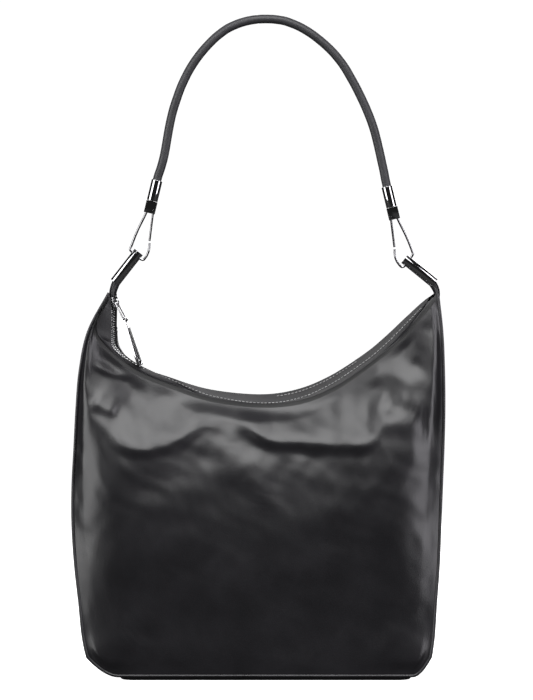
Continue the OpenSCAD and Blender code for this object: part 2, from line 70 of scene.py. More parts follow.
room_r = 14
room_h = 20
bpy.ops.object.select_all(action="DESELECT")
bpy.ops.mesh.primitive_cylinder_add(vertices=96, radius=room_r, depth=room_h, end_fill_type="NGON",
                                    location=(0, 0, room_h / 2))
sweep = bpy.context.object
sweep.name = "sweep"
bpy.ops.object.transform_apply(location=True, rotation=True, scale=True)
bpy.ops.object.mode_set(mode="EDIT")
bpy.ops.mesh.select_all(action="SELECT")
bpy.ops.mesh.flip_normals()
bpy.ops.mesh.select_all(action="DESELECT")
bpy.ops.object.mode_set(mode="OBJECT")
for face in sweep.data.polygons:
    face.select = face.center.z > 0.99 * room_h
bpy.ops.object.mode_set(mode="EDIT")
bpy.ops.mesh.select_mode(type="FACE")
bpy.ops.mesh.delete(type="FACE")
bpy.ops.object.mode_set(mode="OBJECT")
bend = sweep.modifiers.new("bend", "BEVEL")
bend.width = room_r / 7
bend.segments = 10
bend.limit_method = "ANGLE"
bend.angle_limit = math.radians(60)
bpy.ops.object.modifier_apply(modifier="bend")
bpy.ops.object.shade_smooth()
card = bpy.data.materials.new("studio_card")
card.use_nodes = True
tree = card.node_tree
card_shader = tree.nodes["Principled BSDF"]
card_shader.inputs["Roughness"].default_value = 0.9
card_shader.inputs["Specular IOR Level"].default_value = 0.0
card_shader.inputs["Emission Color"].default_value = (1, 1, 1, 1)
seen = tree.nodes.new("ShaderNodeLightPath")
paper = tree.nodes.new("ShaderNodeMix")
paper.data_type = "RGBA"
paper.inputs["A"].default_value = (0.035, 0.035, 0.035, 1)
paper.inputs["B"].default_value = (0.85, 0.85, 0.85, 1)
glow = tree.nodes.new("ShaderNodeMath")
glow.operation = "MULTIPLY_ADD"
glow.inputs[1].default_value = 1.0
glow.inputs[2].default_value = 0.022
tree.links.new(seen.outputs["Is Camera Ray"], paper.inputs["Factor"])
tree.links.new(paper.outputs["Result"], card_shader.inputs["Base Color"])
tree.links.new(seen.outputs["Is Camera Ray"], glow.inputs[0])
tree.links.new(glow.outputs[0], card_shader.inputs["Emission Strength"])
sweep.data.materials.append(card)

world = bpy.data.worlds.new("studio")
world.use_nodes = True
world.node_tree.nodes["Background"].inputs["Color"].default_value = (0.9, 0.92, 1.0, 1)
world.node_tree.nodes["Background"].inputs["Strength"].default_value = 0.06
bpy.context.scene.world = world
bpy.context.scene.view_settings.view_transform = "Standard"


def softbox(name, place, aim, width, height, power, tint=(1, 1, 1)):
    """A soft rectangular studio light turned towards a point."""
    turn = (Vector(aim) - Vector(place)).to_track_quat("-Z", "Y").to_euler()
    bpy.ops.object.light_add(type="AREA", location=place, rotation=turn)
    light = bpy.context.object
    light.name = name
    light.data.shape = "RECTANGLE"
    light.data.size = width
    light.data.size_y = height
    light.data.energy = power
    light.data.color = tint


softbox("left_softbox", (-1.3, -0.75, 0.5), (0, 0, 0.15), 0.8, 1.9, 22)
softbox("right_softbox", (1.3, -0.85, 0.5), (0, 0, 0.2), 0.6, 1.9, 18, (0.97, 0.95, 1.0))
softbox("back_softbox", (0.5, 1.7, 1.0), (0, 0, 0.2), 1.2, 1.2, 18)
softbox("top_softbox", (0.0, -0.95, 1.55), (0, 0, 0.2), 1.3, 1.1, 29)

# ---- Front and back panels ----
# The two big panels: smooth black calf with a very fine pebble, cut to the horned outline, its rim rolled
# inwards and near black and matte for its last few mm. The leather hangs in soft folds under the mouth, where
# the body slumps, and bellies out lower down.
MM = 0.001


def new_group(name, inputs, outputs):
    """A shader node group with named number inputs and outputs."""
    group = bpy.data.node_groups.new(name, "ShaderNodeTree")
    for label, value in inputs:
        socket = group.interface.new_socket(label, in_out="INPUT", socket_type="NodeSocketFloat")
        socket.default_value = value
    for label, kind in outputs:
        group.interface.new_socket(label, in_out="OUTPUT", socket_type=kind)
    return group


def node(tree, kind, **values):
    """A shader node with its settings and input values."""
    made = tree.nodes.new(kind)
    for key, value in values.items():
        if hasattr(made, key):
            setattr(made, key, value)
        else:
            made.inputs[key.replace("_", " ")].default_value = value
    return made


grain = new_group("calf_grain", [("Pores", 1400.0), ("Wrinkles", 90.0), ("Wrinkle Depth", 0.5)],
                  [("Height", "NodeSocketFloat"), ("Mottle", "NodeSocketFloat")])
inside = grain.nodes.new("NodeGroupInput")
outside = grain.nodes.new("NodeGroupOutput")
where = grain.nodes.new("ShaderNodeTexCoord")
pores = node(grain, "ShaderNodeTexVoronoi", feature="SMOOTH_F1")
wrinkles = node(grain, "ShaderNodeTexNoise", Detail=6.0, Roughness=0.62, Distortion=0.6)
mottle = node(grain, "ShaderNodeTexNoise", Scale=22.0, Detail=4.0, Roughness=0.6)
weight = node(grain, "ShaderNodeMath", operation="MULTIPLY")
total = node(grain, "ShaderNodeMath", operation="ADD")
for texture in (pores, wrinkles, mottle):
    grain.links.new(where.outputs["Object"], texture.inputs["Vector"])
grain.links.new(inside.outputs["Pores"], pores.inputs["Scale"])
grain.links.new(inside.outputs["Wrinkles"], wrinkles.inputs["Scale"])
grain.links.new(wrinkles.outputs["Fac"], weight.inputs[0])
grain.links.new(inside.outputs["Wrinkle Depth"], weight.inputs[1])
grain.links.new(pores.outputs["Distance"], total.inputs[0])
grain.links.new(weight.outputs[0], total.inputs[1])
grain.links.new(total.outputs[0], outside.inputs["Height"])
grain.links.new(mottle.outputs["Fac"], outside.inputs["Mottle"])


def leather(name, dark, light, smooth, rough, depth=0.10, wrinkle=0.6):
    """A calf leather: two near shades, a range of gloss and a depth of grain."""
    material = bpy.data.materials.new(name)
    material.use_nodes = True
    tree = material.node_tree
    shader = tree.nodes["Principled BSDF"]
    skin = node(tree, "ShaderNodeGroup")
    skin.node_tree = grain
    skin.inputs["Wrinkle Depth"].default_value = wrinkle
    colour = node(tree, "ShaderNodeValToRGB")
    colour.color_ramp.elements[0].position = 0.35
    colour.color_ramp.elements[0].color = (*dark, 1)
    colour.color_ramp.elements[1].position = 0.7
    colour.color_ramp.elements[1].color = (*light, 1)
    gloss = node(tree, "ShaderNodeMapRange")
    gloss.inputs["From Min"].default_value = 0.3
    gloss.inputs["From Max"].default_value = 0.7
    gloss.inputs["To Min"].default_value = smooth
    gloss.inputs["To Max"].default_value = rough
    bump = node(tree, "ShaderNodeBump", Strength=depth, Distance=0.0006)
    tree.links.new(skin.outputs["Mottle"], colour.inputs["Fac"])
    tree.links.new(colour.outputs["Color"], shader.inputs["Base Color"])
    tree.links.new(skin.outputs["Mottle"], gloss.inputs["Value"])
    tree.links.new(gloss.outputs["Result"], shader.inputs["Roughness"])
    tree.links.new(skin.outputs["Height"], bump.inputs["Height"])
    tree.links.new(bump.outputs["Normal"], shader.inputs["Normal"])
    shader.inputs["Specular IOR Level"].default_value = 0.5
    return material


body_leather = leather("body_calf", (0.0085, 0.0082, 0.0095), (0.0125, 0.012, 0.014), 0.30, 0.37)
# A near black, matte leather for a narrow band along each panel's rim.
rim_band_dark = leather("rim_band_dark", (0.0015, 0.0015, 0.0018), (0.003, 0.003, 0.0034), 0.55, 0.7, 0.04)

bag_top = 306
base_seam = 5
base_half = 50
horn_half = 4.2
tip_half = 4.6
mouth_half = 9.4
mouth_run = 0.05
belly = 12
skin_t = 1.6
seam_in = 2.4
corner_rise = 14
left_corner, right_corner = 0.075, 0.04
left_out = [132, 140, 143.5, 147, 149, 149, 147.5, 146, 143.5, 137, 121]
right_out = [133, 138.5, 141, 143.5, 145, 146.5, 148, 149, 149, 148, 145]
rims = {
    -1: [(-120, 306), (-127, 293), (-131, 278), (-123, 264), (-99, 245), (-69, 232.5), (-40, 223),
         (0, 218), (34, 221), (65, 234), (97, 257), (114, 271), (126, 286), (135, 297), (142, 306)],
    1: [(-115, 306), (-116, 293), (-116, 278), (-113, 262), (-99, 248), (-74, 239), (-40, 229),
        (0, 225), (30, 229), (57, 240), (85, 258), (102, 272), (119, 288), (131, 299), (140, 306)],
}


def curve(points, t):
    """Points of a smooth line through a list of points, for an array of t from 0 to 1."""
    p = np.asarray(points, float)
    p = p[:, None] if p.ndim == 1 else p
    s = np.clip(np.atleast_1d(t), 0, 1) * (len(p) - 1)
    i = np.minimum(s.astype(int), len(p) - 2)
    f = (s - i)[:, None]
    ends = np.vstack([2 * p[0] - p[1], p, 2 * p[-1] - p[-2]])
    a, b, c, d = ends[i], ends[i + 1], ends[i + 2], ends[i + 3]
    return 0.5 * (2 * b + (c - a) * f + (2 * a - 5 * b + 4 * c - d) * f * f
                  + (3 * b - a - 3 * c + d) * f ** 3)


def left_edge(z):
    """Left edge of the bag's inside, in mm from its middle."""
    return -curve(left_out, z / bag_top)[:, 0] + seam_in


def right_edge(z):
    """Right edge of the bag's inside, in mm from its middle."""
    return curve(right_out, z / bag_top)[:, 0] - seam_in


def edge_half(z):
    """Half the bag's depth at its side seams."""
    return horn_half + (base_half - horn_half) * np.maximum(0, 1 - z / bag_top) ** 0.9


def rim_half(u):
    """Half the bag's depth at the mouth's rims."""
    return tip_half + (mouth_half - tip_half) * np.minimum(1, np.minimum(u, 1 - u) / mouth_run)


def wall(side, u, v):
    """Inner face of a panel: x, half depth and z in mm, for arrays of shares u across and v up."""
    top = curve(rims[side], u)
    near_left = np.clip(1 - u / left_corner, 0, 1)
    near_right = np.clip(1 - (1 - u) / right_corner, 0, 1)
    foot = base_seam + corner_rise * (near_left ** 2 + near_right ** 2)
    z = foot + (top[:, 1] - foot) * v
    left_top, right_top = left_edge(top[:, 1]), right_edge(top[:, 1])
    share = (top[:, 0] - left_top) / (right_top - left_top)
    across = u + (share - u) * v
    x = left_edge(z) + (right_edge(z) - left_edge(z)) * across
    mid = base_half + (rim_half(u) - base_half) * v + belly * np.sin(np.pi * v)
    ease = 1 - np.abs(2 * np.clip(u, 0, 1) - 1) ** 6
    half = edge_half(z) + (mid - edge_half(z)) * ease
    return x, half, z


def smooth(t):
    """An easy step from 0 to 1."""
    t = np.clip(t, 0, 1)
    return t * t * (3 - 2 * t)


def fold(x, z, path, rise, above, below):
    """Height of a fold in the leather along a path, fading to nothing at both its ends."""
    line = curve(path, np.linspace(0, 1, 60))
    step = np.gradient(line, axis=0)
    gap_x = x[:, None] - line[None, :, 0]
    gap_z = z[:, None] - line[None, :, 1]
    near = np.argmin(gap_x ** 2 + gap_z ** 2, axis=1)
    rows = np.arange(len(x))
    dx, dz = gap_x[rows, near], gap_z[rows, near]
    side = step[near, 0] * dz - step[near, 1] * dx
    width = np.where(side > 0, above, below)
    along = near / 59
    fade = np.clip(along / 0.3, 0, 1) * np.clip((1 - along) / 0.3, 0, 1)
    return rise * smooth(fade) * np.exp(-(dx ** 2 + dz ** 2) / width ** 2)


front_folds = [
    ([(-122, 193), (-106, 184), (-91, 182), (-71, 186), (-52, 197), (-30, 207)], 2.6, 14, 5),
    ([(-24, 207), (-8, 199), (8, 189), (31, 187), (64, 185), (86, 187), (100, 205)], 3.4, 14, 5),
    ([(-31, 196), (-26, 180), (-16, 170), (-7, 168), (-2, 152), (2, 124)], 2.2, 11, 11),
    ([(-136, 251), (-124, 245), (-113, 241), (-98, 240)], 1.3, 5, 2.6),
    ([(-132, 262), (-118, 252), (-104, 232), (-96, 212)], -2.4, 12, 10),
    ([(-134, 222), (-124, 216), (-112, 211)], 1.6, 7, 5),
    ([(142, 300), (141, 262), (139, 222), (136, 180)], 2.4, 7, 7),
    ([(100, 270), (116, 258), (136, 240)], -1.8, 11, 11),
    ([(84, 240), (104, 240), (132, 232)], 1.1, 10, 9),
    ([(96, 222), (112, 214), (128, 212)], -2.2, 9, 9),
    ([(-140, 4), (-118, 22), (-92, 44)], 2.6, 20, 20),
    ([(90, 42), (114, 22), (138, 4)], 2.6, 18, 18),
]
back_folds = [
    ([(-116, 200), (-80, 184), (-40, 190), (-10, 206)], 4.5, 15, 7),
    ([(6, 208), (36, 190), (80, 188), (112, 204)], 4.5, 15, 7),
    ([(-30, 150), (-10, 110), (0, 70)], 1.8, 22, 22),
    ([(100, 262), (120, 254), (134, 246)], -2.6, 9, 9),
]
roll = 2.6
roll_in = 1.1
rim_band_w = 2.6
calm_under_rim = 16
calm_beside_seam = 0.03
calm_over_base = 0.04
slump = 7
slump_reach = 40
slump_line = [(-150, 204), (-130, 196), (-112, 186), (-91, 183), (-71, 186), (-52, 196), (-34, 205),
              (-17, 204), (0, 193), (12, 188), (31, 186), (64, 185), (86, 187), (98, 197),
              (120, 208), (150, 214)]


def dents(x, z):
    """Shallow uneven dents that handling leaves in soft leather, in mm."""
    waves = [(0.3, 31, 0.4, 0.30), (1.2, 23, 2.1, 0.24), (2.2, 37, 4.0, 0.30),
             (2.8, 17, 1.3, 0.13), (0.8, 13, 5.2, 0.09), (1.9, 47, 3.3, 0.40)]
    total = np.zeros_like(x)
    for angle, length, phase, size in waves:
        across = x * np.cos(angle) + z * np.sin(angle)
        bent = across + 6 * np.sin((x * np.sin(angle) - z * np.cos(angle)) / (length * 0.9) + phase)
        total += size * np.sin(2 * np.pi * bent / length + phase) * np.sin(bent / length + x / 53 + z / 71)
    return total * (0.45 + 0.55 * smooth((z - 90) / 90))


def slumped(x, z):
    """How far the leather sags outwards over the crest line of the folds, as a share."""
    crest = np.interp(x, *zip(*slump_line))
    above = smooth((crest + slump_reach - z) / slump_reach)
    below = smooth((z - 40) / (crest - 40)) ** 0.8
    sides = smooth((x + 146) / 40) * smooth((146 - x) / 46)
    return above * below * sides


def panel_points(side, u, v, folds):
    """Outer face of a panel in metres, with its folds and its rolled rim."""
    x, half, z = wall(side, u, v)
    out = half + skin_t
    rise = np.zeros_like(x)
    for path, height, above, below in folds:
        rise += fold(x, z, path, height, above, below)
    rise += dents(x, z + 200 * (side > 0))
    down = (1 - v) * (curve(rims[side], u)[:, 1] - base_seam)
    calm = np.clip(down / calm_under_rim, 0, 1) * np.clip(v / calm_over_base, 0, 1)
    calm *= np.clip(np.minimum(u, 1 - u) / calm_beside_seam, 0, 1)
    out = out + (rise + slump * slumped(x, z)) * smooth(calm)
    out = out - roll_in * np.clip(1 - down / roll, 0, 1) ** 2
    return np.stack([x * MM, side * out * MM, z * MM], axis=1)


def grid(name, columns, rows):
    """A flat grid from 0 to 1 each way, and its points' shares u and v."""
    bpy.ops.object.select_all(action="DESELECT")
    bpy.ops.mesh.primitive_grid_add(x_subdivisions=columns, y_subdivisions=rows, size=1)
    made = bpy.context.object
    made.name = name
    flat = np.empty(len(made.data.vertices) * 3)
    made.data.vertices.foreach_get("co", flat)
    flat = flat.reshape(-1, 3) + 0.5
    return made, flat[:, 0], flat[:, 1]


def place(obj, points):
    """Moves a piece's points, in metres."""
    obj.data.vertices.foreach_set("co", np.asarray(points, float).ravel())
    obj.data.update()


def pick(obj):
    """Only this object is selected and active."""
    bpy.ops.object.select_all(action="DESELECT")
    obj.select_set(True)
    bpy.context.view_layer.objects.active = obj


def turn_out(obj):
    """Turns the faces of an open sheet over."""
    pick(obj)
    bpy.ops.object.mode_set(mode="EDIT")
    bpy.ops.mesh.select_all(action="SELECT")
    bpy.ops.mesh.flip_normals()
    bpy.ops.object.mode_set(mode="OBJECT")


def thicken(obj, thickness, offset=-1):
    """Gives a sheet its thickness."""
    pick(obj)
    layer = obj.modifiers.new("layer", "SOLIDIFY")
    layer.thickness = thickness
    layer.offset = offset
    layer.use_even_offset = False
    bpy.ops.object.modifier_apply(modifier="layer")
    bpy.ops.object.shade_smooth_by_angle(angle=math.radians(50))


def finish_piece(obj, material, body, slot, *nodes):
    """Dresses a piece, rides it on its body and stands it for its CAD nodes."""
    obj.data.materials.clear()
    obj.data.materials.append(material)
    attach(obj, body)
    if nodes:
        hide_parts(*nodes)


for side, name, folds in ((-1, "front_panel", front_folds), (1, "back_panel", back_folds)):
    panel, u, v = grid(name + "_calf", 190, 130)
    place(panel, panel_points(side, u, v, folds))
    if side > 0:
        turn_out(panel)
    thicken(panel, skin_t * MM)
    finish_piece(panel, body_leather, "bag", "body_leather", name)
    # Faces within 2.6 mm of the rim line take the second, near black and matte material.
    panel.data.materials.append(rim_band_dark)
    centres = np.empty(len(panel.data.polygons) * 3)
    panel.data.polygons.foreach_get("center", centres)
    centres = centres.reshape(-1, 3) / MM
    rim_line = curve(rims[side], np.linspace(0, 1, 400))
    gap = np.hypot(centres[:, 0, None] - rim_line[:, 0], centres[:, 2, None] - rim_line[:, 1])
    panel.data.polygons.foreach_set("material_index", (gap.min(axis=1) < rim_band_w).astype(np.int32))

# ---- Gussets ----
# The side strips, wide at the base and nothing at the horns, sewn between the two panels.
# They belly a little and crease down the middle where the sides fold in.
gusset_belly = 2
gusset_crease = 1.6
crease_w = 0.16
crease_foot = 60
crease_top = 290
gusset_ripple = 0.5
least_half = 0.6


def side_seam(hand, t):
    """Side seam as x and z in mm, with the rounded lower corner, for an array of t from 0 to 1."""
    z = base_seam + (bag_top - base_seam) * t ** 1.25
    corner = left_corner if hand < 0 else right_corner
    share = corner * (1 - np.sqrt(np.minimum(1, (z - base_seam) / corner_rise)))
    left, right = left_edge(z), right_edge(z)
    x = left + (right - left) * share if hand < 0 else right + (left - right) * share
    return x, z


for hand, name in ((-1, "left_gusset"), (1, "right_gusset")):
    strip, u, v = grid(name + "_calf", 40, 160)
    x, z = side_seam(hand, v)
    s = 2 * u - 1
    half = np.maximum(least_half, edge_half(z))
    puff = gusset_belly * (1 - s ** 2) * np.minimum(1, half / 10)
    pinch = gusset_crease * np.exp(-(s / crease_w) ** 2)
    pinch *= np.clip((z - crease_foot) / 80, 0, 1) * np.clip((crease_top - z) / 60, 0, 1)
    ripple = gusset_ripple * np.sin(z / 11 + 2.2 * s + hand) * (1 - s ** 2)
    ripple *= np.clip((250 - z) / 80, 0, 1)
    x = x + hand * (puff - pinch + ripple)
    place(strip, np.stack([x * MM, s * half * MM, z * MM], axis=1))
    if hand < 0:
        turn_out(strip)
    thicken(strip, skin_t * MM)
    finish_piece(strip, body_leather, "bag", "body_leather", name)

# ---- Base ----
# A leather base turned up round its board to the seam, with softly rounded corners and edge.
base_low, base_high = (Vector(c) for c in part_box("base_panel"))
bpy.ops.object.select_all(action="DESELECT")
bpy.ops.mesh.primitive_cube_add(size=1, location=(base_low + base_high) / 2,
                                scale=base_high - base_low)
base = bpy.context.object
base.name = "base_calf"
bpy.ops.object.transform_apply(location=True, rotation=True, scale=True)
corner_r = 12
under_r = 2.2
corners = base.modifiers.new("corners", "BEVEL")
corners.width = corner_r * MM
corners.segments = 10
corners.limit_method = "WEIGHT"
weights = base.data.attributes.new("bevel_weight_edge", "FLOAT", "EDGE")
for i, edge in enumerate(base.data.edges):
    a, b = (base.data.vertices[k].co for k in edge.vertices)
    weights.data[i].value = 1.0 if abs(a.z - b.z) > 1 * MM else 0.0
bpy.ops.object.modifier_apply(modifier="corners")
under = base.modifiers.new("under", "BEVEL")
under.width = under_r * MM
under.segments = 5
under.limit_method = "ANGLE"
under.angle_limit = math.radians(60)
bpy.ops.object.modifier_apply(modifier="under")
bpy.ops.object.shade_smooth_by_angle(angle=math.radians(50))
finish_piece(base, body_leather, "bag", "body_leather", "base_panel")

# ---- Piping ----
# Thin cords wrapped in calf and sewn into the seams round each panel; the handled edge is
# a little shinier than the panels.
piping_leather = leather("piping_calf", (0.012, 0.0115, 0.013), (0.03, 0.029, 0.033), 0.26, 0.36, 0.06)
pipe_r = 1.2


def tube(name, route, radius):
    """A round rod along a route of points in metres, as a mesh."""
    bpy.ops.object.select_all(action="DESELECT")
    data = bpy.data.curves.new(name, "CURVE")
    data.dimensions = "3D"
    data.bevel_depth = radius
    data.bevel_resolution = 4
    data.use_fill_caps = True
    line = data.splines.new("POLY")
    line.points.add(len(route) - 1)
    for point, co in zip(line.points, route):
        point.co = (*co, 1)
    made = bpy.data.objects.new(name, data)
    bpy.context.scene.collection.objects.link(made)
    pick(made)
    bpy.ops.object.convert(target="MESH")
    made = bpy.context.object
    bpy.ops.object.shade_smooth_by_angle(angle=math.radians(40))
    return made


def pipe_route(side):
    """Down one side seam, along the base seam and up the other, just outside the panel's edge."""
    down_seam = np.linspace(1, 0, 90)
    along_base = np.linspace(0, 1, 140)[1:-1]
    u = np.concatenate([0 * down_seam, along_base, 0 * down_seam + 1])
    v = np.concatenate([down_seam, 0 * along_base, down_seam[::-1]])
    x, half, z = wall(side, u, v)
    step_x, step_z = np.gradient(x), np.gradient(z)
    length = np.hypot(step_x, step_z)
    x = x + pipe_r * step_z / length
    z = z - pipe_r * step_x / length
    return np.stack([x * MM, side * (half + pipe_r) * MM, z * MM], axis=1)


for side, name in ((-1, "front_piping"), (1, "back_piping")):
    piping = tube(name + "_cord", pipe_route(side), pipe_r * MM)
    finish_piece(piping, piping_leather, "bag", "piping_leather", name)

# ---- Zip facings ----
# Calf strips turned down from each rim to the zip and sewn to its tapes, with small gathers where
# they turn up into the left horn.
facing_leather = leather("facing_calf", (0.006, 0.0057, 0.007), (0.011, 0.0105, 0.0125), 0.42, 0.55, 0.10)
zip_line = [(-118.5, 306), (-118.5, 290), (-118.5, 274), (-116.5, 261.5), (-102, 249.5), (-74, 236),
            (-41, 220), (0, 212), (31, 215), (60, 228), (90, 249), (107, 264), (122, 280), (132, 292),
            (139, 303)]

zip_turn = 22
turn_ends, turn_run = 0.22, 0.12


def zip_frame(u):
    """Points of the zip's centre line in mm with its run, across and up directions."""
    at = curve(zip_line, u)
    ahead = curve(zip_line, np.minimum(1, u + 0.004)) - curve(zip_line, np.maximum(0, u - 0.004))
    run = np.stack([ahead[:, 0], 0 * u, ahead[:, 1]], axis=1)
    run /= np.linalg.norm(run, axis=1)[:, None]
    turn = np.radians(zip_turn) * (1 - np.clip((u - turn_ends) / turn_run, 0, 1))
    across = np.stack([np.sin(turn), np.cos(turn), 0 * u], axis=1)
    across -= run * (across * run).sum(axis=1)[:, None]
    across /= np.linalg.norm(across, axis=1)[:, None]
    up = np.cross(run, across)
    return np.stack([at[:, 0], 0 * u, at[:, 1]], axis=1), run, across, up


facing_from, facing_to = 0.012, 0.975
facing_t = 1.0
facing_reach = 4.8
facing_lift = 0.9
facing_sag = 1.1
facing_gathers = {-1: 1.3, 1: 0.7}
gathers_at, gathers_run = 0.17, 0.05


def facing_points(side, u, v):
    """Points of a facing in mm, its slope from rim to zip, and the zip's run beside it."""
    x, half, z = wall(side, u, np.ones_like(u))
    rim = np.stack([x, side * (half - 0.2), z - 0.4], axis=1)
    centre, run, across, up = zip_frame(u)
    reach = side * np.minimum(facing_reach, half - 0.9)
    slope = centre + across * reach[:, None] + up * facing_lift - rim
    points = rim + slope * v[:, None]
    points[:, 2] -= facing_sag * np.sin(np.pi * v)
    return points, slope, run


for side, name in ((-1, "front_zip_facing"), (1, "back_zip_facing")):
    strip, u, v = grid(name + "_calf", 300, 10)
    u = facing_from + (facing_to - facing_from) * u
    points, slope, run = facing_points(side, u, v)
    folds = facing_gathers[side] * np.sin(u * 70 + 3 * np.sin(u * 31)) * np.sin(np.pi * v)
    folds *= 0.12 + 0.5 * np.exp(-((u - gathers_at) / gathers_run) ** 2)
    points[:, 1] += side * 0.6 * folds
    points[:, 2] -= 0.35 * folds
    place(strip, points * MM)
    if side < 0:
        turn_out(strip)
    thicken(strip, facing_t * MM)
    finish_piece(strip, facing_leather, "bag", "zip_facing_leather", name)

# ---- Stitches ----
# Light waxed thread, standing a little proud of the leather. One row runs nearly the whole way along
# the back facing, and a second near its rim to the right of the middle.
thread = bpy.data.materials.new("waxed_thread")
thread.use_nodes = True
thread_shader = thread.node_tree.nodes["Principled BSDF"]
thread_shader.inputs["Base Color"].default_value = (0.5, 0.5, 0.5, 1)
thread_shader.inputs["Roughness"].default_value = 0.55
thread_twist = node(thread.node_tree, "ShaderNodeTexWave", Scale=2600.0, Distortion=1.0)
thread_where = node(thread.node_tree, "ShaderNodeTexCoord")
thread_bump = node(thread.node_tree, "ShaderNodeBump", Strength=0.3, Distance=0.0002)
thread.node_tree.links.new(thread_where.outputs["Object"], thread_twist.inputs["Vector"])
thread.node_tree.links.new(thread_twist.outputs["Fac"], thread_bump.inputs["Height"])
thread.node_tree.links.new(thread_bump.outputs["Normal"], thread_shader.inputs["Normal"])


def stitches(name, points, outwards, pitch=3.0, length=2.1, radius=0.27):
    """A row of stitches along a line of points in mm, lying on a surface with these normals."""
    step = np.linalg.norm(np.diff(points, axis=0), axis=1)
    run = np.concatenate([[0], np.cumsum(step)])
    mesh = bmesh.new()
    for k in range(int(run[-1] / pitch)):
        ends = []
        for s in (k * pitch + 0.4, k * pitch + 0.4 + length):
            ends.append(Vector([np.interp(s, run, points[:, i]) for i in range(3)]))
        lift = Vector([np.interp(k * pitch, run, outwards[:, i]) for i in range(3)]).normalized()
        along = (ends[1] - ends[0]).normalized()
        beside = along.cross(lift)
        rings = []
        for share, size, rise in ((0, 0.45, -0.12), (0.22, 1, 0.12), (0.78, 1, 0.12), (1, 0.45, -0.12)):
            at = ends[0].lerp(ends[1], share) + lift * rise
            ring = []
            for a in range(6):
                turn = math.radians(60 * a)
                spoke = beside * math.cos(turn) + lift * math.sin(turn)
                ring.append(mesh.verts.new((at + spoke * radius * size) * MM))
            rings.append(ring)
        for one, two in zip(rings, rings[1:]):
            for a in range(6):
                mesh.faces.new((one[a], one[(a + 1) % 6], two[(a + 1) % 6], two[a]))
        mesh.faces.new(rings[0][::-1])
        mesh.faces.new(rings[-1])
    bmesh.ops.recalc_face_normals(mesh, faces=mesh.faces)
    data = bpy.data.meshes.new(name)
    mesh.to_mesh(data)
    mesh.free()
    row = bpy.data.objects.new(name, data)
    bpy.context.scene.collection.objects.link(row)
    pick(row)
    bpy.ops.object.shade_smooth()
    finish_piece(row, thread, "bag", "zip_facing_leather")


def facing_line(u, share, lift=1.2):
    """A line along the back facing, lifted off it, at a share of the way from rim to zip."""
    points, slope, run = facing_points(1, u, np.full_like(u, share))
    face = np.cross(run, slope)
    face /= np.linalg.norm(face, axis=1)[:, None]
    face *= np.where(face[:, 2] < 0, -1, 1)[:, None]
    return points + face * lift, face


stitches("lower_stitches", *facing_line(np.linspace(0.1, 0.94, 500), 0.5))
stitches("upper_stitches", *facing_line(np.linspace(0.53, 0.70, 140), 0.14))

# ---- Zip ----
# Black woven tape, two rows of nickel teeth parted at the left horn and closed beyond, and
# square end stops pressed on.
weave = bpy.data.materials.new("woven_tape")
weave.use_nodes = True
tree = weave.node_tree
shader = tree.nodes["Principled BSDF"]
shader.inputs["Base Color"].default_value = (0.008, 0.008, 0.009, 1)
shader.inputs["Roughness"].default_value = 0.8
shader.inputs["Sheen Weight"].default_value = 0.15
where = node(tree, "ShaderNodeTexCoord")
threads = node(tree, "ShaderNodeTexWave", Scale=700.0, bands_direction="Y")
cross_threads = node(tree, "ShaderNodeTexWave", Scale=500.0, bands_direction="X")
both = node(tree, "ShaderNodeMath", operation="MULTIPLY")
bump = node(tree, "ShaderNodeBump", Strength=0.5, Distance=0.0002)
tree.links.new(where.outputs["Object"], threads.inputs["Vector"])
tree.links.new(where.outputs["Object"], cross_threads.inputs["Vector"])
tree.links.new(threads.outputs["Fac"], both.inputs[0])
tree.links.new(cross_threads.outputs["Fac"], both.inputs[1])
tree.links.new(both.outputs[0], bump.inputs["Height"])
tree.links.new(bump.outputs["Normal"], shader.inputs["Normal"])

wear = new_group("metal_wear", [("Marks", 60.0)],
                 [("Rough", "NodeSocketFloat"), ("Height", "NodeSocketFloat")])
inside = wear.nodes.new("NodeGroupInput")
outside = wear.nodes.new("NodeGroupOutput")
where = wear.nodes.new("ShaderNodeTexCoord")
haze = node(wear, "ShaderNodeTexNoise", Detail=5.0, Roughness=0.6)
hair = node(wear, "ShaderNodeTexNoise", Scale=240.0, Detail=3.0)
stretch = node(wear, "ShaderNodeMapping")
stretch.inputs["Scale"].default_value = (1.0, 1.0, 9.0)
wear.links.new(where.outputs["Object"], haze.inputs["Vector"])
wear.links.new(where.outputs["Object"], stretch.inputs["Vector"])
wear.links.new(stretch.outputs["Vector"], hair.inputs["Vector"])
wear.links.new(inside.outputs["Marks"], haze.inputs["Scale"])
wear.links.new(haze.outputs["Fac"], outside.inputs["Rough"])
wear.links.new(hair.outputs["Fac"], outside.inputs["Height"])


def metal(name, colour, smooth, rough, scratch=0.02):
    """A plated metal with a little haze and fine hairlines."""
    material = bpy.data.materials.new(name)
    material.use_nodes = True
    tree = material.node_tree
    shader = tree.nodes["Principled BSDF"]
    shader.inputs["Base Color"].default_value = (*colour, 1)
    shader.inputs["Metallic"].default_value = 1.0
    marks = node(tree, "ShaderNodeGroup")
    marks.node_tree = wear
    gloss = node(tree, "ShaderNodeMapRange")
    gloss.inputs["From Min"].default_value = 0.3
    gloss.inputs["From Max"].default_value = 0.7
    gloss.inputs["To Min"].default_value = smooth
    gloss.inputs["To Max"].default_value = rough
    bump = node(tree, "ShaderNodeBump", Strength=scratch, Distance=0.0002)
    tree.links.new(marks.outputs["Rough"], gloss.inputs["Value"])
    tree.links.new(gloss.outputs["Result"], shader.inputs["Roughness"])
    tree.links.new(marks.outputs["Height"], bump.inputs["Height"])
    tree.links.new(bump.outputs["Normal"], shader.inputs["Normal"])
    return material


teeth_nickel = metal("teeth_nickel", (0.9, 0.9, 0.91), 0.34, 0.48)
slider_nickel = metal("slider_nickel", (0.66, 0.66, 0.67), 0.12, 0.22)
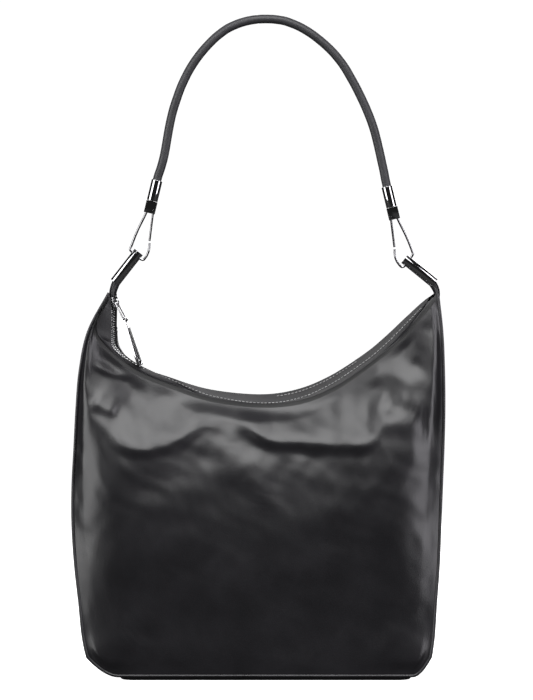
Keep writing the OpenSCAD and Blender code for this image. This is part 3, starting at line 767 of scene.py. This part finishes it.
# Polished nickel for the hardware, its colour painted darker than the metal's own so that its reflections
# come out darker: real metal with painted shade.
nickel_with_painted_shade = metal("nickel_with_painted_shade", (0.46, 0.46, 0.47), 0.03, 0.08, 0.01)


def dress(name, material):
    """A CAD piece that shows as it is, in its own finish."""
    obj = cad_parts[name]
    obj.data.materials.clear()
    obj.data.materials.append(material)


def soften(name, body, material, slot, width=0.25, segments=2, angle=35):
    """A copy of a metal piece with its edges rounded as polishing leaves them."""
    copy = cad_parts[name].copy()
    copy.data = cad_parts[name].data.copy()
    copy.name = name + "_polished"
    copy.hide_render = False
    copy.hide_viewport = False
    bpy.context.scene.collection.objects.link(copy)
    place_of = copy.matrix_world.copy()
    copy.parent = None
    copy.data.transform(place_of)
    copy.matrix_world = Matrix.Identity(4)
    pick(copy)
    bpy.ops.object.mode_set(mode="EDIT")
    bpy.ops.mesh.select_all(action="SELECT")
    bpy.ops.mesh.remove_doubles(threshold=0.01 * MM)
    bpy.ops.mesh.dissolve_limited(angle_limit=math.radians(1))
    bpy.ops.mesh.normals_make_consistent(inside=False)
    bpy.ops.object.mode_set(mode="OBJECT")
    if width:
        edge = copy.modifiers.new("edge", "BEVEL")
        edge.width = width * MM
        edge.segments = segments
        edge.limit_method = "ANGLE"
        edge.angle_limit = math.radians(angle)
        bpy.ops.object.modifier_apply(modifier="edge")
    bpy.ops.object.shade_smooth_by_angle(angle=math.radians(40))
    finish_piece(copy, material, body, slot, name)


dress("front_zip_tape", weave)
dress("back_zip_tape", weave)
for name in ("front_zip_teeth", "back_zip_teeth", "zip_end_stops"):
    soften(name, "bag", teeth_nickel, "zip_teeth_metal", 0.2, 1)

# ---- Slider and pull ----
# A cast nickel slider with a bridge; a bent wire link hangs from it and carries a flat nickel
# frame with a dark enamel bar let into both its faces.
for name in ("slider_body", "slider_crown"):
    soften(name, "zip_slider", slider_nickel, "zip_slider_metal", 0.3, 3)
# The link and the frame are polished nickel whose colour is painted darker than the metal's own, as painted
# shade.
soften("pull_link", "pull_link", nickel_with_painted_shade, "zip_slider_metal", 0)
soften("pull_frame", "zip_pull", nickel_with_painted_shade, "zip_slider_metal", 0.3, 3)
enamel = leather("pull_insert_leather", (0.006, 0.006, 0.007), (0.012, 0.012, 0.013), 0.35, 0.5, 0.15)
soften("pull_insert", "zip_pull", enamel, "pull_insert", 0.15, 2)

# ---- Tubes, hooks, ferrules ----
# Turned and polished nickel, its colour painted darker than the metal's own as painted shade: a tube on each
# horn, a swivel hook through its cross hole with a sprung gate, and a ferrule pressed over the end of the
# strap.
for hand in ("left", "right"):
    soften(hand + "_tube", "handle", nickel_with_painted_shade, "polished_metal", 0.35, 3)
    soften(hand + "_ferrule", "handle", nickel_with_painted_shade, "polished_metal", 0.45, 4)
    soften(hand + "_hook_block", "handle", nickel_with_painted_shade, "polished_metal", 0.5, 4)
    soften(hand + "_swivel_stud", "handle", nickel_with_painted_shade, "polished_metal", 0.15, 2)
    soften(hand + "_hook_wire", "handle", nickel_with_painted_shade, "polished_metal", 0)
    soften(hand + "_gate", hand + "_gate", nickel_with_painted_shade, "polished_metal", 0.2, 2)
    for part in ("_gate_pin", "_gate_spring"):
        dress(hand + part, slider_nickel)

# ---- Strap ----
# A rolled strap: calf sewn round a stuffed core, its closing seam turned to the underside, with a
# join across the top of the arch. It ends inside the ferrules.
strap_leather = leather("strap_calf", (0.022, 0.022, 0.0245), (0.036, 0.0355, 0.040), 0.46, 0.6, 0.12)
strap_d = 7.2
strap_slack = 0.08
strap_sides = 48
strap_rise = 131
join_x = -1.4
join_w = 0.5
join_depth = 0.22
arch = [(0.029, 0.138), (0.064, 0.397), (0.117, 0.611), (0.188, 0.776), (0.282, 0.911),
        (0.376, 0.978), (0.477, 1), (0.577, 0.982), (0.683, 0.906), (0.789, 0.77),
        (0.871, 0.584), (0.937, 0.374), (0.975, 0.167)]
bores = {-1: (-99.353, 337.007), 1: (119.331, 332.072)}
block_tilt = 13.5
block_in = 10.6
block_up = 34
strap_end = 16
ferrule_end = 28.1


def block_point(hand, up):
    """A point on the line of a hook's block and ferrule, so far up from the block's foot."""
    tilt = math.radians(block_tilt)
    x, z = bores[hand]
    return (x - hand * (block_in + up * math.sin(tilt)), z + block_up + up * math.cos(tilt))


def strap_line(count):
    """The strap's middle line, from inside one ferrule over the arch into the other."""
    a, b = block_point(-1, ferrule_end), block_point(1, ferrule_end)
    over = [(a[0] + (b[0] - a[0]) * p, a[1] + (b[1] - a[1]) * p + strap_rise * q) for p, q in arch]
    knots = [block_point(-1, strap_end), a] + over + [b, block_point(1, strap_end)]
    return curve(knots, np.linspace(0, 1, count))


def rolled(name, rings, corner):
    """A closed piece skinned over rings of points in mm, smooth up to an angle between faces."""
    count = len(rings[0])
    faces = [(i * count + k, i * count + (k + 1) % count, (i + 1) * count + (k + 1) % count,
              (i + 1) * count + k) for i in range(len(rings) - 1) for k in range(count)]
    faces.append(tuple(range(count))[::-1])
    faces.append(tuple(range((len(rings) - 1) * count, len(rings) * count)))
    data = bpy.data.meshes.new(name)
    data.from_pydata((np.array(rings).reshape(-1, 3) * MM).tolist(), [], faces)
    made = bpy.data.objects.new(name, data)
    bpy.context.scene.collection.objects.link(made)
    pick(made)
    bpy.ops.object.mode_set(mode="EDIT")
    bpy.ops.mesh.select_all(action="SELECT")
    bpy.ops.mesh.normals_make_consistent(inside=False)
    bpy.ops.object.mode_set(mode="OBJECT")
    bpy.ops.object.shade_smooth_by_angle(angle=math.radians(corner))
    return made


def mark(turn, at, depth, width):
    """A ridge or groove along the strap, at one place round it."""
    off = math.atan2(math.sin(turn - at), math.cos(turn - at))
    return depth * math.exp(-(off / width) ** 2)


route = strap_line(420)
run = np.gradient(route, axis=0)
run /= np.linalg.norm(run, axis=1)[:, None]
away = np.stack([-run[:, 1], run[:, 0]], axis=1)
rings = []
for i, (x, z) in enumerate(route):
    share = i / (len(route) - 1)
    join = join_depth * math.exp(-((x - join_x) / join_w) ** 2) if 0.3 < share < 0.7 else 0
    ring = []
    for k in range(strap_sides):
        a = 2 * math.pi * k / strap_sides
        seam = mark(a, -math.pi / 2, 0.21, 0.11) - mark(a, math.pi / 2, 0.108, 0.25)
        ripple = 0.05 * math.sin(share * 160 + 1.3 * math.sin(a)) * (0.5 + 0.5 * math.sin(share * 37))
        r = strap_d / 2 - strap_slack - join + ripple - seam
        side = r * math.sin(a)
        ring.append((x + away[i][0] * side, r * math.cos(a), z + away[i][1] * side))
    rings.append(ring)
strap = rolled("strap_calf", rings, 50)
finish_piece(strap, strap_leather, "handle", "strap_leather", "strap_cover")

# ---- Necks ----
# The leather of each horn tip is gathered and pushed up inside its tube; it is shaped with a fixed bend
# where the handle swings over.
tubes = {-1: ((-118.5, 312.5), 52, "left", -121, -115.2), 1: ((143.5, 312.5), 39, "right", 145, 140.2)}
neck_foot = 303.5
neck_bend = 309
neck_in_tube = 8
neck_r = 3.3
neck_deep = 5.6
neck_gather = 0.05
neck_rings, neck_sides = 29, 40
for hand, (pivot, angle, name, outer, inner) in tubes.items():
    lean = math.radians(angle)
    start = Vector(((outer + inner) / 2, 0, neck_foot))
    bend_at = Vector((pivot[0] + hand * 0.3, 0, neck_bend))
    tip = Vector((pivot[0], 0, pivot[1])) + Vector((-hand * math.cos(lean), 0, math.sin(lean))) * neck_in_tube
    rings = []
    for t in np.linspace(0, 1, neck_rings):
        ease = t * t * (3 - 2 * t)
        at = start.lerp(bend_at, t).lerp(bend_at.lerp(tip, t), t)
        heading = (bend_at - start).normalized().lerp((tip - bend_at).normalized(), ease).normalized()
        beside = Vector((heading.z, 0, -heading.x))
        wide = abs(inner - outer) / 2 * (1 - ease) + neck_r * ease
        deep = neck_deep * (1 - ease) + neck_r * ease
        ring = []
        for k in range(neck_sides):
            a = 2 * math.pi * k / neck_sides
            gather = 1 + neck_gather * math.sin(9 * a) * math.sin(math.pi * t)
            ring.append(at + (beside * wide * math.cos(a) + Vector((0, deep * math.sin(a), 0))) * gather)
        rings.append(ring)
    neck = rolled(name + "_neck_calf", rings, 60)
    neck.data.materials.append(body_leather)
    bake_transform(neck)
    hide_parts(name + "_neck")

# ---- Inside ----
# Cotton twill lining hung from the rims, over a fibreboard stiffener in the base; the strap's
# core is twisted cotton.
lining = leather("lining_twill", (0.02, 0.019, 0.018), (0.035, 0.033, 0.031), 0.8, 0.9, 0.3)
board = leather("fibreboard", (0.16, 0.12, 0.075), (0.24, 0.19, 0.12), 0.85, 0.95, 0.3)
core = leather("twisted_core", (0.25, 0.23, 0.2), (0.38, 0.35, 0.3), 0.9, 0.95, 0.4)
for side, name, folds in ((-1, "front_lining", front_folds), (1, "back_lining", back_folds)):
    cloth, u, v = grid(name + "_twill", 90, 60)
    u, v = 0.08 + 0.84 * u, 0.05 + 0.87 * v
    points = panel_points(side, u, v, folds)
    points[:, 1] -= side * (skin_t + 0.5) * MM
    place(cloth, points)
    if side > 0:
        turn_out(cloth)
    thicken(cloth, 0.6 * MM)
    finish_piece(cloth, lining, "bag", "lining_cloth", name)
for name in ("left_lining", "right_lining", "base_lining"):
    dress(name, lining)
dress("base_board", board)
dress("strap_core", core)
